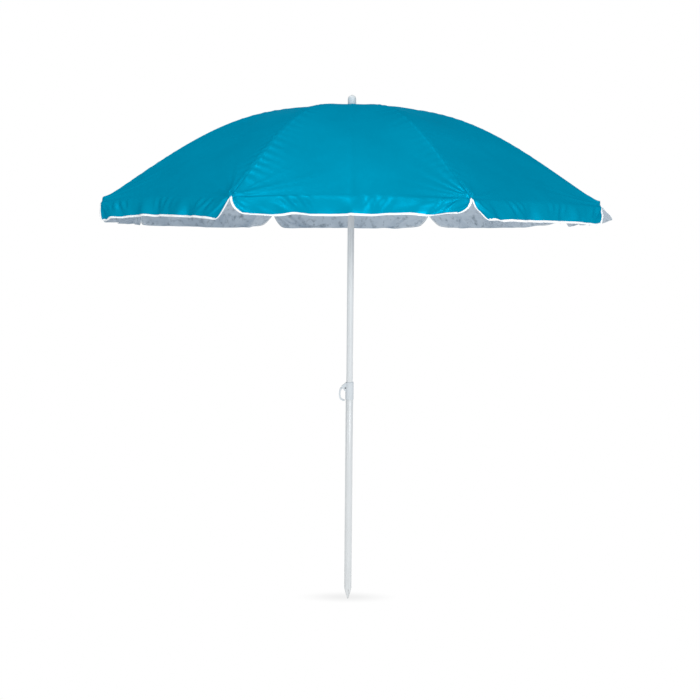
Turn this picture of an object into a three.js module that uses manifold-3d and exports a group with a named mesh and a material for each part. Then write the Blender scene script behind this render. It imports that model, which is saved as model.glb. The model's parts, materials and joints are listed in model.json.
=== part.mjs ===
// Beach umbrella with a two-part telescopic pole, eight wire ribs and a silver-lined canopy.
// Millimetres, +Z up the pole. The origin is the blunt tip of the ground point, on the pole's axis.
// The canopy is open and the height clamp is closed. -Y is the front, and the clamp lever is at -X.
import * as THREE from 'three';
import { mergeVertices } from 'three/addons/utils/BufferGeometryUtils.js';
import Module from 'manifold-3d';

const wasm = await Module();
wasm.setup();

// ---- driving dimensions ----

const GAP = 0.3; // between pieces that touch
const ROUND = 24; // facets round a pole

const RIB_COUNT = 8;
const RIB_STEP = (2 * Math.PI) / RIB_COUNT;

// Pole
const LOWER_TUBE = { radius: 12.5, wall: 1, top: 718, pointTop: 40, pinchedTop: 52 };
const POINT_TIP = 1.6; // half-width of the blunt tip
const UPPER_TUBE = { radius: 11, wall: 1, bottom: 612, top: 1653 };

// Height clamp
const COLLAR = { radius: 14, bottom: 698, top: 758 };
const PIN = { x: -14.5, z: 738, radius: 2, length: 16 };
const EAR = { inner: 3.4, outer: 6.4 };
const LEVER_HUB = { halfWidth: 3, radius: 3.2 };
const CAM_WINDOW = { below: 7, above: 12 }; // from the pin's height; the open lever passes through it
const RIVET_RADIUS = 2;
const COLLAR_RIVET_Z = 708;

// Crown and runner: two notched discs, each with a wire ring that the ribs or stretchers hang on
const PIVOT_RADIUS = 18;
const CROWN_Z = 1661;
const DISC = { radius: 24, half: 6.5, slotInner: 14, slotWidth: 4.8, floor: 4.2 };
const RING_WIRE = 1;
const SLEEVE_RADIUS = 13.5;
const HUB_BOTTOM = 1626;
const CROWN_RIVET_Z = 1640;
const RUNNER_BORE = 11.4;
const RUNNER_LENGTH = 38; // from the pivots down to the sleeve's lower end

// Ribs and stretchers
const RIB = { radius: 1.9, depth: 5.8, end: 0.985 }; // depth below the outside of the fabric
const EYE = { radius: 3.5, hole: 1.6, thickness: 3 };
const JOINT = { r: 440, z: 1576 }; // where a stretcher meets its rib
const RUNNER_Z = 2 * JOINT.z - CROWN_Z; // equal arms above and below the joint
const STRETCHER = { width: 6.4, height: 5, wall: 0.9, tongue: 11 };

// Canopy: the seam line over a rib, as radius and height
const SEAM = new THREE.CubicBezierCurve(
  new THREE.Vector2(0, 1672.6),
  new THREE.Vector2(347.7, 1666.3),
  new THREE.Vector2(466.2, 1606.3),
  new THREE.Vector2(821.2, 1344.8),
);
const FABRIC = { thickness: 1, seamGap: 0.2, holeRadius: 9.5, sag: 7 };
const VALANCE = { depth: 48, flare: THREE.MathUtils.degToRad(16), notch: 31 };
const FINIAL = { radius: 13.75, bottom: 1673.4, top: 1713, bore: 8.3, boreTop: 1699 };
const CROWN_POST = { radius: 8, top: 1698 };

// ---- materials ----

const finish = (color, roughness, metalness = 0) =>
  new THREE.MeshStandardMaterial({ color, roughness, metalness });

const LOOKS = {
  pole: finish(0xdde2e3, 0.35, 0.2),
  collar: finish(0xe4eaed, 0.45),
  finial: finish(0xebf0f2, 0.4),
  pin: finish(0x8f8f93, 0.4, 0.8),
  wire: finish(0xc8ccce, 0.35, 0.8),
  notch: finish(0xf0f0f0, 0.5),
  canopy: finish(0x0092b5, 0.6),
};

// ---- shared shape tools ----

const toSolid = (geometry) => {
  const bare = geometry.clone();
  bare.deleteAttribute('normal');
  bare.deleteAttribute('uv');
  const merged = mergeVertices(bare, 1e-4);
  return new wasm.Manifold(
    new wasm.Mesh({
      numProp: 3,
      vertProperties: new Float32Array(merged.attributes.position.array),
      triVerts: new Uint32Array(merged.index.array),
    }),
  );
};

const toGeometry = (solid) => {
  const mesh = solid.getMesh();
  const geometry = new THREE.BufferGeometry();
  geometry.setAttribute('position', new THREE.BufferAttribute(mesh.vertProperties, 3));
  geometry.setIndex(new THREE.BufferAttribute(mesh.triVerts, 1));
  return geometry;
};

const cut = (body, ...tools) =>
  toGeometry(tools.reduce((solid, tool) => solid.subtract(toSolid(tool)), toSolid(body)));
const join = (body, ...others) =>
  toGeometry(others.reduce((solid, other) => solid.add(toSolid(other)), toSolid(body)));
const overlapOf = (a, b) => toGeometry(toSolid(a).intersect(toSolid(b)));

// A solid of revolution about Z. The profile runs up the outside, as [radius, height] pairs.
const turned = (profile, facets = ROUND) =>
  new THREE.LatheGeometry(profile.map(([r, z]) => new THREE.Vector2(r, z)), facets).rotateX(Math.PI / 2);

const ring = (inner, outer, bottom, top, facets = ROUND) =>
  turned([[inner, bottom], [outer, bottom], [outer, top], [inner, top], [inner, bottom]], facets);

const disc = (radius, bottom, top, facets = ROUND) =>
  turned([[0, bottom], [radius, bottom], [radius, top], [0, top]], facets);

const box = (x0, x1, y0, y1, z0, z1) =>
  new THREE.BoxGeometry(x1 - x0, y1 - y0, z1 - z0).translate((x0 + x1) / 2, (y0 + y1) / 2, (z0 + z1) / 2);

// A round bar along Y, centred on the XZ plane.
const crossBar = (x, z, radius, length, facets = 12) =>
  new THREE.CylinderGeometry(radius, radius, length, facets).translate(x, 0, z);

// A flat shape in the XZ plane, given a thickness along Y.
const plate = (shape, thickness, curveSegments = 8) =>
  new THREE.ExtrudeGeometry(shape, { depth: thickness, bevelEnabled: false, curveSegments })
    .translate(0, 0, -thickness / 2)
    .rotateX(Math.PI / 2);

const polygon = (points) => new THREE.Shape(points.map(([x, z]) => new THREE.Vector2(x, z)));

const eyeShape = (radius, hole) => {
  const shape = new THREE.Shape().absarc(0, 0, radius, 0, 2 * Math.PI);
  shape.holes.push(new THREE.Path().absarc(0, 0, hole, 0, 2 * Math.PI));
  return shape;
};

// A round wire along a path.
const wireAlong = (path, radius, steps, facets) => {
  const section = new THREE.Shape();
  for (let k = 0; k < facets; k += 1) {
    const a = (k * 2 * Math.PI) / facets;
    section[k === 0 ? 'moveTo' : 'lineTo'](radius * Math.cos(a), radius * Math.sin(a));
  }
  return new THREE.ExtrudeGeometry(section, { steps, extrudePath: path, bevelEnabled: false });
};

// A closed skin from a grid of outer points and the same grid moved inwards.
const skin = (outer, inner) => {
  const rows = outer.length;
  const columns = outer[0].length;
  const positions = [...outer.flat(), ...inner.flat()].flatMap((p) => [p.x, p.y, p.z]);
  const at = (side, i, j) => side * rows * columns + i * columns + j;
  const triangles = [];
  const quad = (a, b, c, d) => triangles.push(a, b, c, a, c, d);
  for (let i = 0; i < rows - 1; i += 1) {
    for (let j = 0; j < columns - 1; j += 1) {
      quad(at(0, i, j), at(0, i + 1, j), at(0, i + 1, j + 1), at(0, i, j + 1));
      quad(at(1, i, j), at(1, i, j + 1), at(1, i + 1, j + 1), at(1, i + 1, j));
    }
  }
  for (let j = 0; j < columns - 1; j += 1) {
    quad(at(0, 0, j), at(0, 0, j + 1), at(1, 0, j + 1), at(1, 0, j));
    quad(at(0, rows - 1, j), at(1, rows - 1, j), at(1, rows - 1, j + 1), at(0, rows - 1, j + 1));
  }
  for (let i = 0; i < rows - 1; i += 1) {
    quad(at(0, i, 0), at(1, i, 0), at(1, i + 1, 0), at(0, i + 1, 0));
    quad(at(0, i, columns - 1), at(0, i + 1, columns - 1), at(1, i + 1, columns - 1), at(1, i, columns - 1));
  }
  const geometry = new THREE.BufferGeometry();
  geometry.setAttribute('position', new THREE.Float32BufferAttribute(positions, 3));
  geometry.setIndex(triangles);
  return geometry;
};

const umbrella = new THREE.Group();
const addPiece = (name, geometry, look, parent = umbrella) => {
  const mesh = new THREE.Mesh(geometry, LOOKS[look]);
  mesh.name = name;
  parent.add(mesh);
};

// A group turned to face azimuth: 0 is the front, -Y, and it grows towards +X.
const facing = (azimuth) => {
  const group = new THREE.Group();
  group.rotation.z = azimuth - Math.PI / 2;
  umbrella.add(group);
  return group;
};

// ---- lower pole: a tube whose foot is pressed to a four-lobed point ----

const lowerTube = () => {
  const { radius, wall, top, pointTop, pinchedTop } = LOWER_TUBE;
  const rows = [0, 0.12, 0.35, 0.6, 0.82, 1];
  const lobeDepth = 0.22;
  const flank = rows.map((u) => {
    const size = POINT_TIP + (radius - POINT_TIP) * Math.sin((u * Math.PI) / 2) ** 1.15;
    return [size, u * pointTop];
  });
  const inner = radius - wall;
  const profile = [[0, 0], ...flank, [radius, top], [inner, top], [inner, pinchedTop], [0, pinchedTop - 6]];
  const geometry = turned(profile, ROUND);
  const position = geometry.attributes.position;
  for (let k = 0; k < position.count; k += 1) {
    const z = position.getZ(k);
    if (z > 0.01 && z < pointTop - 0.01) {
      const angle = Math.atan2(position.getY(k), position.getX(k));
      const strength = lobeDepth * Math.sin((z / pointTop) * Math.PI);
      const squeeze = 1 - strength * Math.cos(2 * angle) ** 2;
      position.setX(k, position.getX(k) * squeeze);
      position.setY(k, position.getY(k) * squeeze);
    }
  }
  const rivetHole = crossBar(0, COLLAR_RIVET_Z, RIVET_RADIUS + 0.25, 20).translate(0, 12, 0);
  return cut(geometry, rivetHole);
};

// ---- height clamp ----

const collarBody = () => {
  const { radius, bottom, top } = COLLAR;
  const lowerBore = LOWER_TUBE.radius + GAP;
  const upperBore = UPPER_TUBE.radius + 0.4;
  const step = LOWER_TUBE.top + GAP;
  const chamfer = 1.2;
  const tube = turned([
    [lowerBore, bottom], [radius - 0.4, bottom], [radius, bottom + 1], [radius, top - chamfer],
    [radius - chamfer, top], [upperBore, top], [upperBore, step], [lowerBore, step], [lowerBore, bottom],
  ]);
  const ear = new THREE.Shape();
  ear.moveTo(-12, top - 2);
  ear.lineTo(-24.5, 746.8);
  ear.absarc(-24, 743, 3, Math.PI * 0.6, Math.PI * 1.25);
  ear.lineTo(-12.5, 723);
  ear.closePath();
  const ears = [-1, 1].map((side) => {
    const middle = (side * (EAR.inner + EAR.outer)) / 2;
    return plate(ear, EAR.outer - EAR.inner).translate(0, middle, 0);
  });
  const bore = disc(upperBore, step, top + 1);
  const camWindow = box(
    -22, -9, -EAR.inner, EAR.inner, PIN.z - CAM_WINDOW.below, PIN.z + CAM_WINDOW.above,
  );
  const pinHole = crossBar(PIN.x, PIN.z, PIN.radius + 0.3, 30);
  const rivetHole = crossBar(0, COLLAR_RIVET_Z, RIVET_RADIUS + 0.25, 20).translate(0, 12, 0);
  return cut(join(tube, ...ears), bore, camWindow, pinHole, rivetHole);
};

// The lever hangs from its pin and bows out to a finger loop. Its middle line, as [x, z].
const LEVER_LINE = [
  [PIN.x, PIN.z], [-22, 740.2], [-28.5, 736.5], [-32.3, 728], [-33.4, 718],
  [-32.4, 708], [-28.6, 700.2], [-22.6, 696.6], [-17.8, 695.6],
];

const clampLever = () => {
  const line = new THREE.CatmullRomCurve3(LEVER_LINE.map(([x, z]) => new THREE.Vector3(x, 0, z)));
  const steps = 20;
  const halfThickness = (u) => 3.1 - 1.1 * u ** 2;
  const side = (sign) =>
    Array.from({ length: steps + 1 }, (_, k) => {
      const u = k / steps;
      const point = line.getPointAt(u);
      const along = line.getTangentAt(u);
      return [point.x + sign * halfThickness(u) * along.z, point.z - sign * halfThickness(u) * along.x];
    });
  const outline = polygon([...side(1), ...side(-1).reverse()]);
  const roundEnd = new THREE.CylinderGeometry(2, 2, 2 * EAR.outer, 12).translate(-17.8, 0, 695.6);
  const fingerPart = cut(
    join(plate(outline, 2 * EAR.outer), roundEnd),
    crossBar(PIN.x, PIN.z, 15, 40, 32),
  );
  const hub = crossBar(PIN.x, PIN.z, LEVER_HUB.radius, 2 * LEVER_HUB.halfWidth, 20);
  const arm = plate(outline, 2 * LEVER_HUB.halfWidth);
  return cut(join(hub, arm, fingerPart), crossBar(PIN.x, PIN.z, PIN.radius + 0.3, 30));
};

const collarRivet = () =>
  turned([[0, 11.9], [RIVET_RADIUS, 11.9], [RIVET_RADIUS, 14.4], [3.4, 14.4], [3, 15.4], [0, 15.8]], 12)
    .rotateX(-Math.PI / 2)
    .translate(0, 0, COLLAR_RIVET_Z);

const addLowerPole = () => {
  addPiece('lower_tube', lowerTube(), 'pole');
  addPiece('clamp_collar', collarBody(), 'collar');
  addPiece('clamp_lever', clampLever(), 'collar');
  addPiece('clamp_pin', crossBar(PIN.x, PIN.z, PIN.radius, PIN.length), 'pin');
  addPiece('collar_rivet', collarRivet(), 'pin');
};

// ---- upper pole ----

const guideBush = () => {
  const { radius, wall, bottom } = UPPER_TUBE;
  const flange = LOWER_TUBE.radius - LOWER_TUBE.wall - 0.2;
  const spigot = radius - wall - GAP;
  return turned([
    [0, bottom - 6], [flange - 1, bottom - 6], [flange, bottom - 5], [flange, bottom - GAP],
    [spigot, bottom - GAP], [spigot, bottom + 18], [0, bottom + 18],
  ]);
};

const CATCH = { bottom: RUNNER_Z - RUNNER_LENGTH - 28, top: RUNNER_Z - RUNNER_LENGTH - 0.6, halfWidth: 1.6 };

const upperTube = () => {
  const { radius, wall, bottom, top } = UPPER_TUBE;
  const slot = box(-CATCH.halfWidth - GAP, CATCH.halfWidth + GAP, -20, 0, CATCH.bottom - GAP, CATCH.top + GAP);
  const rivetHole = crossBar(0, CROWN_RIVET_Z, RIVET_RADIUS + 0.25, 40);
  return cut(ring(radius - wall, radius, bottom, top), slot, rivetHole);
};

// The sprung catch pokes out of the tube's slot and carries the runner's lower end.
const runnerCatch = () => {
  const { bottom, top, halfWidth } = CATCH;
  const shape = polygon([
    [-6.5, bottom + 2], [-10.4, bottom], [-15.6, top - 4], [-15.6, top], [-6.5, top],
  ]);
  return plate(shape, 2 * halfWidth).rotateZ(Math.PI / 2);
};

const catchSpring = () => {
  const middle = (CATCH.bottom + CATCH.top) / 2;
  const bow = new THREE.QuadraticBezierCurve3(
    new THREE.Vector3(0, 8.6, middle - 26),
    new THREE.Vector3(0, -18.6, middle),
    new THREE.Vector3(0, 8.6, middle + 26),
  );
  return wireAlong(bow, 0.6, 12, 6);
};

// A notched disc with a groove for its wire ring. open is 1 where the arms swing up and -1 down.
const notchedDisc = (pivotZ, open, bore) => {
  const { radius, half, slotInner, slotWidth, floor } = DISC;
  const body = ring(bore, radius, pivotZ - half, pivotZ + half, 32);
  const mouth = pivotZ + open * (half + 1);
  const slotFloor = pivotZ - open * floor;
  const grooveFloor = pivotZ - open * (RING_WIRE + GAP);
  const [slotLow, slotHigh] = [Math.min(mouth, slotFloor), Math.max(mouth, slotFloor)];
  const [grooveLow, grooveHigh] = [Math.min(mouth, grooveFloor), Math.max(mouth, grooveFloor)];
  const slots = Array.from({ length: RIB_COUNT }, (_, k) =>
    box(slotInner, radius + 2, -slotWidth / 2, slotWidth / 2, slotLow, slotHigh)
      .rotateZ((k + 0.5) * RIB_STEP - Math.PI / 2));
  const grooveHalf = RING_WIRE + 0.4;
  const groove = ring(PIVOT_RADIUS - grooveHalf, PIVOT_RADIUS + grooveHalf, grooveLow, grooveHigh, 32);
  return cut(body, groove, ...slots);
};

const pivotRing = (z) => new THREE.TorusGeometry(PIVOT_RADIUS, RING_WIRE, 6, 32).translate(0, 0, z);

const crownHub = () => {
  const bore = UPPER_TUBE.radius + GAP;
  const discTop = CROWN_Z + DISC.half;
  const sleeve = ring(bore, SLEEVE_RADIUS, HUB_BOTTOM, CROWN_Z, ROUND);
  const plug = disc(13, UPPER_TUBE.top + GAP, discTop, ROUND);
  const post = turned([
    [0, discTop - 1], [13, discTop - 1], [13, discTop + 2.6], [CROWN_POST.radius, discTop + 2.6],
    [CROWN_POST.radius, CROWN_POST.top - 1], [CROWN_POST.radius - 1, CROWN_POST.top], [0, CROWN_POST.top],
  ]);
  const rivetHole = crossBar(0, CROWN_RIVET_Z, RIVET_RADIUS + 0.25, 40);
  return cut(join(notchedDisc(CROWN_Z, -1, bore), sleeve, plug, post), rivetHole);
};

const crownRivet = () => {
  const shank = SLEEVE_RADIUS + GAP;
  return turned([
    [0, -shank - 1.6], [3, -shank - 1.2], [3.4, -shank], [RIVET_RADIUS, -shank],
    [RIVET_RADIUS, shank], [3.4, shank], [3, shank + 1.2], [0, shank + 1.6],
  ], 12).rotateX(-Math.PI / 2).translate(0, 0, CROWN_RIVET_Z);
};

const runner = () => {
  const bottom = RUNNER_Z - RUNNER_LENGTH;
  const sleeve = turned([
    [RUNNER_BORE, bottom], [SLEEVE_RADIUS + 1, bottom], [SLEEVE_RADIUS + 1, bottom + 3], [SLEEVE_RADIUS, bottom + 4],
    [SLEEVE_RADIUS, RUNNER_Z], [RUNNER_BORE, RUNNER_Z], [RUNNER_BORE, bottom],
  ]);
  return join(notchedDisc(RUNNER_Z, 1, RUNNER_BORE), sleeve);
};

const finialCap = () => {
  const { radius, bottom, top, bore, boreTop } = FINIAL;
  const shoulder = top - radius;
  const dome = Array.from({ length: 7 }, (_, k) => {
    const a = (k * Math.PI) / 12;
    return [radius * Math.cos(a), shoulder + radius * Math.sin(a)];
  });
  dome[6][0] = 0;
  return turned([
    [bore, bottom], [radius + 1.2, bottom], [radius + 1.2, bottom + 1.6], [radius, bottom + 2.4],
    ...dome, [0, boreTop], [bore, boreTop], [bore, bottom],
  ]);
};

const addUpperPole = () => {
  addPiece('guide_bush', guideBush(), 'notch');
  addPiece('upper_tube', upperTube(), 'pole');
  addPiece('runner_catch', runnerCatch(), 'wire');
  addPiece('catch_spring', catchSpring(), 'wire');
  addPiece('crown_hub', crownHub(), 'notch');
  addPiece('crown_ring', pivotRing(CROWN_Z), 'wire');
  addPiece('crown_rivet', crownRivet(), 'pin');
  addPiece('finial_cap', finialCap(), 'finial');
  addPiece('runner', runner(), 'notch');
  addPiece('runner_ring', pivotRing(RUNNER_Z), 'wire');
};

// ---- ribs and stretchers, drawn with the rib along +X ----

// A point on the seam line moved inwards by depth, in the XZ plane.
const below = (t, depth) => {
  const point = SEAM.getPoint(t);
  const along = SEAM.getTangent(t);
  return new THREE.Vector3(point.x + along.y * depth, 0, point.y - along.x * depth);
};

const ribPath = () => {
  const start = new THREE.Vector3(PIVOT_RADIUS + EYE.radius - 0.8, 0, CROWN_Z);
  const samples = Array.from({ length: 9 }, (_, k) => below(0.1 + ((RIB.end - 0.1) * k) / 8, RIB.depth));
  return new THREE.CatmullRomCurve3([start, ...samples]);
};

const ribGeometry = () => {
  const eye = plate(eyeShape(EYE.radius, EYE.hole), EYE.thickness, 6).translate(PIVOT_RADIUS, 0, CROWN_Z);
  return join(eye, wireAlong(ribPath(), RIB.radius, 14, 8));
};

// Places geometry drawn along +X, with +Z up, at a point of the XZ plane, dipping by angle.
const placed = (geometry, point, dip) => geometry.rotateY(dip).translate(point.x, 0, point.z);

const tipCap = () => {
  const end = ribPath().getPoint(1);
  const along = ribPath().getTangent(1);
  const shape = turned([
    [2.2, -9], [3, -9], [3, 1.5], [2, 3.4], [0, 4], [0, GAP], [2.2, GAP], [2.2, -9],
  ], 8).rotateY(Math.PI / 2);
  return placed(shape, end, Math.atan2(-along.z, along.x));
};

// The seam parameter of the rib point nearest to the stretcher joint.
const clipPlace = () => {
  const candidates = Array.from({ length: 1001 }, (_, k) => 0.45 + k * 0.0002);
  const gapTo = (t) => Math.hypot(below(t, RIB.depth).x - JOINT.r, below(t, RIB.depth).z - JOINT.z);
  return candidates.reduce((best, t) => (gapTo(t) < gapTo(best) ? t : best));
};

// A sheet-metal saddle round the rib, with two legs and the joint's rivet between them.
const jointClip = () => {
  const t = clipPlace();
  const centre = below(t, RIB.depth);
  const along = SEAM.getTangent(t);
  const drop = Math.hypot(centre.x - JOINT.r, centre.z - JOINT.z);
  const section = new THREE.Shape();
  section.moveTo(3, -drop - 4);
  section.absarc(0, 0, 3, 0, Math.PI);
  section.lineTo(-3, -drop - 4);
  section.lineTo(-1.8, -drop - 4);
  section.lineTo(-1.8, -1.3);
  section.absarc(0, 0, 2.22, Math.PI * 1.2, -Math.PI * 0.2, true);
  section.lineTo(1.8, -drop - 4);
  const length = 12;
  const saddle = new THREE.ExtrudeGeometry(section, { depth: length, bevelEnabled: false, curveSegments: 4 })
    .translate(0, 0, -length / 2)
    .rotateX(Math.PI / 2)
    .rotateZ(Math.PI / 2);
  const side = new THREE.Shape();
  side.moveTo(-5.5, 4);
  side.lineTo(-5.5, -2.5);
  side.absarc(0, -drop, 3.6, Math.PI * 1.05, Math.PI * 1.95);
  side.lineTo(5.5, -2.5);
  side.lineTo(5.5, 4);
  const rivet = crossBar(0, -drop, 1.3, 7, 8);
  const shape = join(overlapOf(saddle, plate(side, 8, 5)), rivet);
  return placed(shape, centre, Math.atan2(-along.y, along.x));
};

const stretcherGeometry = () => {
  const { width, height, wall, tongue } = STRETCHER;
  const reach = Math.hypot(JOINT.r - PIVOT_RADIUS, JOINT.z - RUNNER_Z);
  const half = width / 2;
  const channel = new THREE.ExtrudeGeometry(
    polygon([
      [-half, -height / 2], [half, -height / 2], [half, height / 2], [half - wall, height / 2],
      [half - wall, wall - height / 2], [wall - half, wall - height / 2], [wall - half, height / 2],
      [-half, height / 2],
    ]),
    { depth: reach - 2 * tongue, bevelEnabled: false },
  ).rotateX(Math.PI / 2).rotateZ(Math.PI / 2).translate(tongue, 0, 0);
  const eye = eyeShape(EYE.radius - 0.1, EYE.hole);
  const tongues = [0, reach].flatMap((x) => {
    const inner = x === 0 ? [EYE.hole + 0.8, tongue + 14] : [reach - tongue - 14, reach - EYE.hole - 0.8];
    const bar = box(inner[0], inner[1], -EYE.thickness / 2, EYE.thickness / 2, -height / 2 + 0.3, height / 2 - 0.6);
    return [plate(eye, EYE.thickness, 6).translate(x, 0, 0), bar];
  });
  const rise = Math.atan2(JOINT.z - RUNNER_Z, JOINT.r - PIVOT_RADIUS);
  const start = new THREE.Vector3(PIVOT_RADIUS, 0, RUNNER_Z);
  return placed(join(channel, ...tongues), start, -rise);
};

const addRibs = () => {
  for (let k = 1; k <= RIB_COUNT; k += 1) {
    const spoke = facing((k - 0.5) * RIB_STEP);
    addPiece(`rib_${k}`, ribGeometry(), 'wire', spoke);
    addPiece(`rib_tip_${k}`, tipCap(), 'notch', spoke);
    addPiece(`joint_clip_${k}`, jointClip(), 'wire', spoke);
    addPiece(`stretcher_${k}`, stretcherGeometry(), 'wire', spoke);
  }
};

// ---- canopy: eight panels, each between two ribs, drawn with its middle along +X ----

// A panel's outer surface at s along the seam line and side -1 to 1 across it.
const panelPoint = (s, side) => {
  const seam = SEAM.getPoint(s);
  const across = seam.x * Math.sin(RIB_STEP / 2) - FABRIC.seamGap;
  const sag = FABRIC.sag * Math.sin(Math.PI * s) * (1 - side * side);
  return new THREE.Vector3(seam.x * Math.cos(RIB_STEP / 2) - sag * 0.5, side * across, seam.y - sag);
};

// The valance at v down from the hem fold. Its sides draw in to leave a notch under each rib.
const valancePoint = (v, side) => {
  const fold = panelPoint(1, 0);
  const notch = VALANCE.notch * v ** 0.85;
  const across = panelPoint(1, 1).y - notch;
  const drop = VALANCE.depth * v;
  return new THREE.Vector3(
    fold.x + drop * Math.sin(VALANCE.flare),
    side * across,
    fold.z - drop * Math.cos(VALANCE.flare),
  );
};

const canopyPanel = () => {
  const columns = 6;
  const firstSeam = FABRIC.holeRadius / (3 * SEAM.v1.x);
  const seams = Array.from({ length: 12 }, (_, k) => firstSeam + ((1 - firstSeam) * k) / 11);
  const drops = [0.3, 0.65, 0.9, 1];
  const sides = Array.from({ length: columns + 1 }, (_, k) => (2 * k) / columns - 1);
  const outer = [
    ...seams.map((s) => sides.map((side) => panelPoint(s, side))),
    ...drops.map((v) => sides.map((side) => valancePoint(v, side))),
  ];
  const inward = (i) => {
    const before = outer[Math.max(i - 1, 0)][columns / 2];
    const after = outer[Math.min(i + 1, outer.length - 1)][columns / 2];
    const along = after.clone().sub(before).normalize();
    return new THREE.Vector3(along.z, 0, -along.x).multiplyScalar(FABRIC.thickness);
  };
  const inner = outer.map((row, i) => row.map((point) => {
    const moved = point.clone().add(inward(i));
    moved.y *= moved.x / point.x;
    return moved;
  }));
  return skin(outer, inner);
};

const addCanopy = () => {
  for (let k = 1; k <= RIB_COUNT; k += 1) {
    addPiece(`canopy_panel_${k}`, canopyPanel(), 'canopy', facing(k * RIB_STEP));
  }
};

addLowerPole();
addUpperPole();
addRibs();
addCanopy();

export default umbrella;
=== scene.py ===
"""A turquoise beach umbrella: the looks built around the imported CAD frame.

Metres, +Z up the pole, -Y the front, the clamp lever at -X. The origin is the tip of the
ground point.
"""

import json
import math

import bmesh
import bpy
import numpy as np
from mathutils import Matrix, Vector


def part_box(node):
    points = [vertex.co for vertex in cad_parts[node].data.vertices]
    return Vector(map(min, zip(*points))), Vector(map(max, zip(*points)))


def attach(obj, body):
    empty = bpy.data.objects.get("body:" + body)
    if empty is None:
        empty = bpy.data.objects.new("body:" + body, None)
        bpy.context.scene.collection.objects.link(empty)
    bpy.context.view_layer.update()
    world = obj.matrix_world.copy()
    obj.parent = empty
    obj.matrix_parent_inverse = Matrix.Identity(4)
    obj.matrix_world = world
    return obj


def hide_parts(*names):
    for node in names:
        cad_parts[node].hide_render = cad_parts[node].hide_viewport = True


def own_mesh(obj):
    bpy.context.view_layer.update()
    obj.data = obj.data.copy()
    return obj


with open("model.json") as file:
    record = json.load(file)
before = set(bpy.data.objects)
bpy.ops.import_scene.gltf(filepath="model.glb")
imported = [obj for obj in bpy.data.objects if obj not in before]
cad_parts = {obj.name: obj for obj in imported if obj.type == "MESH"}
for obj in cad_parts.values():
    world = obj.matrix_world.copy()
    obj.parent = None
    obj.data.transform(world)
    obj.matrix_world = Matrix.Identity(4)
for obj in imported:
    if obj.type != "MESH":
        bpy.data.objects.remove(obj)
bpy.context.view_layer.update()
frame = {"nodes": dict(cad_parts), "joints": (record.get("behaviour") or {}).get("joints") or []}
JOINTS = {joint["name"]: joint for joint in frame["joints"]}

# ---- sizes, in metres ----

RIBS = 8
STEP = 2 * math.pi / RIBS
HALF = STEP / 2
CROWN = Vector(JOINTS["canopy_fold"]["pos_m"])
PIVOT_RADIUS = CROWN.xy.length
RUNNER_Z = JOINTS["runner_travel"]["pos_m"][2]

# The seam line over a rib, as radius and height: a cubic curve from the crown to the rib's tip.
SEAM = np.array([[0, 1.6726], [0.3477, 1.6663], [0.4662, 1.6063], [0.8212, 1.3448]])
SEAM_LENGTH = 0.905
HOLE = 0.0095  # radius of the hole for the crown's post
CLOTH = 0.00045  # thickness of the fabric
RIB_DEPTH = 0.0058  # of a rib's middle line below the seam
RIB_RADIUS = 0.0019
RIB_END = 0.985  # where a rib's wire ends, as a share of the seam
EYE_RADIUS = 0.0035
EYE_HOLE = 0.0016
EYE_THICK = 0.003
TUBE_WALL = 0.001
CORNER = 0.009  # rounding of a flap's lower corner
BIND_IN = 0.0050  # how far the binding reaches over the fabric
BIND_OUT = 0.0010  # and past its edge
BIND_THICK = 0.00085  # from the fabric's middle to the tape's face
BIND_STEP = 0.0035  # distance between the tape's cross-sections

# Each panel's flap, from the front panel on towards +X: how far the hem fold rises at the
# panel's middle (share of the seam), the flap's lean out of the vertical at its first side,
# middle and last side in degrees, and the half-width and curve of the notch at each side.
FLAPS = [
    (0.020, (41, 27, 50), (0.034, 0.034), (2.2, 2.2)),
    (0.014, (26, 14, 22), (0.034, 0.034), (1.7, 1.7)),
    (0.010, (48, 34, 28), (0.036, 0.022), (2.8, 1.6)),
    (0.008, (56, 16, 34), (0.030, 0.034), (1.6, 1.7)),
    (0.006, (32, 14, 2), (0.034, 0.034), (1.7, 1.7)),
    (0.003, (30, 2, 10), (0.034, 0.0012), (1.7, 1.6)),
    (0.010, (10, 2, 0), (0.0012, 0.030), (1.6, 1.6)),
    (0.020, (24, 22, 18), (0.034, 0.036), (1.6, 1.2)),
]
FLAP_DEPTH = 0.060
FLAP_EXTRA = 0.007  # deeper at the panel's middle
NOTCH_END = 0.80  # share of the flap's depth where its lower corner begins to round
SHARP_ROLL = 0.005  # length over which the fabric turns down at the fold, by a rib
SOFT_ROLL = 0.025  # and between ribs

# How far each kind of relief stands out of the stretched fabric or the flap.
SAG = 0.006  # inwards, between the ribs
SWELL = 0.0016  # slow waves over a panel
PULL = 0.0017  # short pull lines across the seams
PUCKER = 0.0011  # the ridge beside a seam
FRONT_CREASE, OTHER_CREASE = 0.0016, 0.0004  # along a panel's middle
RIPPLE = 0.0048  # slow waves along a flap
FLUTTER = 0.0012
TUCK = 0.0030  # short folds below the fold line

# ---- the fabric's mesh ----

ROWS = 130  # from the crown to the fold
FLAP_ROWS = 20  # from the fold to the hem
COLUMNS = 56  # across half a panel


# ---- small tools ----


def linear(*rgb):
    """An sRGB colour, 0 to 255, as linear RGBA."""
    values = [c / 255 for c in rgb]
    return (*[c / 12.92 if c <= 0.04045 else ((c + 0.055) / 1.055) ** 2.4 for c in values], 1)


def smooth(x):
    """Goes from 0 to 1 with x, level at both ends."""
    x = np.clip(x, 0, 1)
    return x * x * (3 - 2 * x)


def unit(vectors):
    return vectors / np.maximum(np.linalg.norm(vectors, axis=-1, keepdims=True), 1e-12)


def seam(s):
    """Radius and height of the seam line at s from 0 to 1."""
    s = np.asarray(s, float)[..., None]
    a, b, c, d = SEAM
    point = (1 - s) ** 3 * a + 3 * (1 - s) ** 2 * s * b + 3 * (1 - s) * s * s * c + s**3 * d
    return point[..., 0], point[..., 1]


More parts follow.
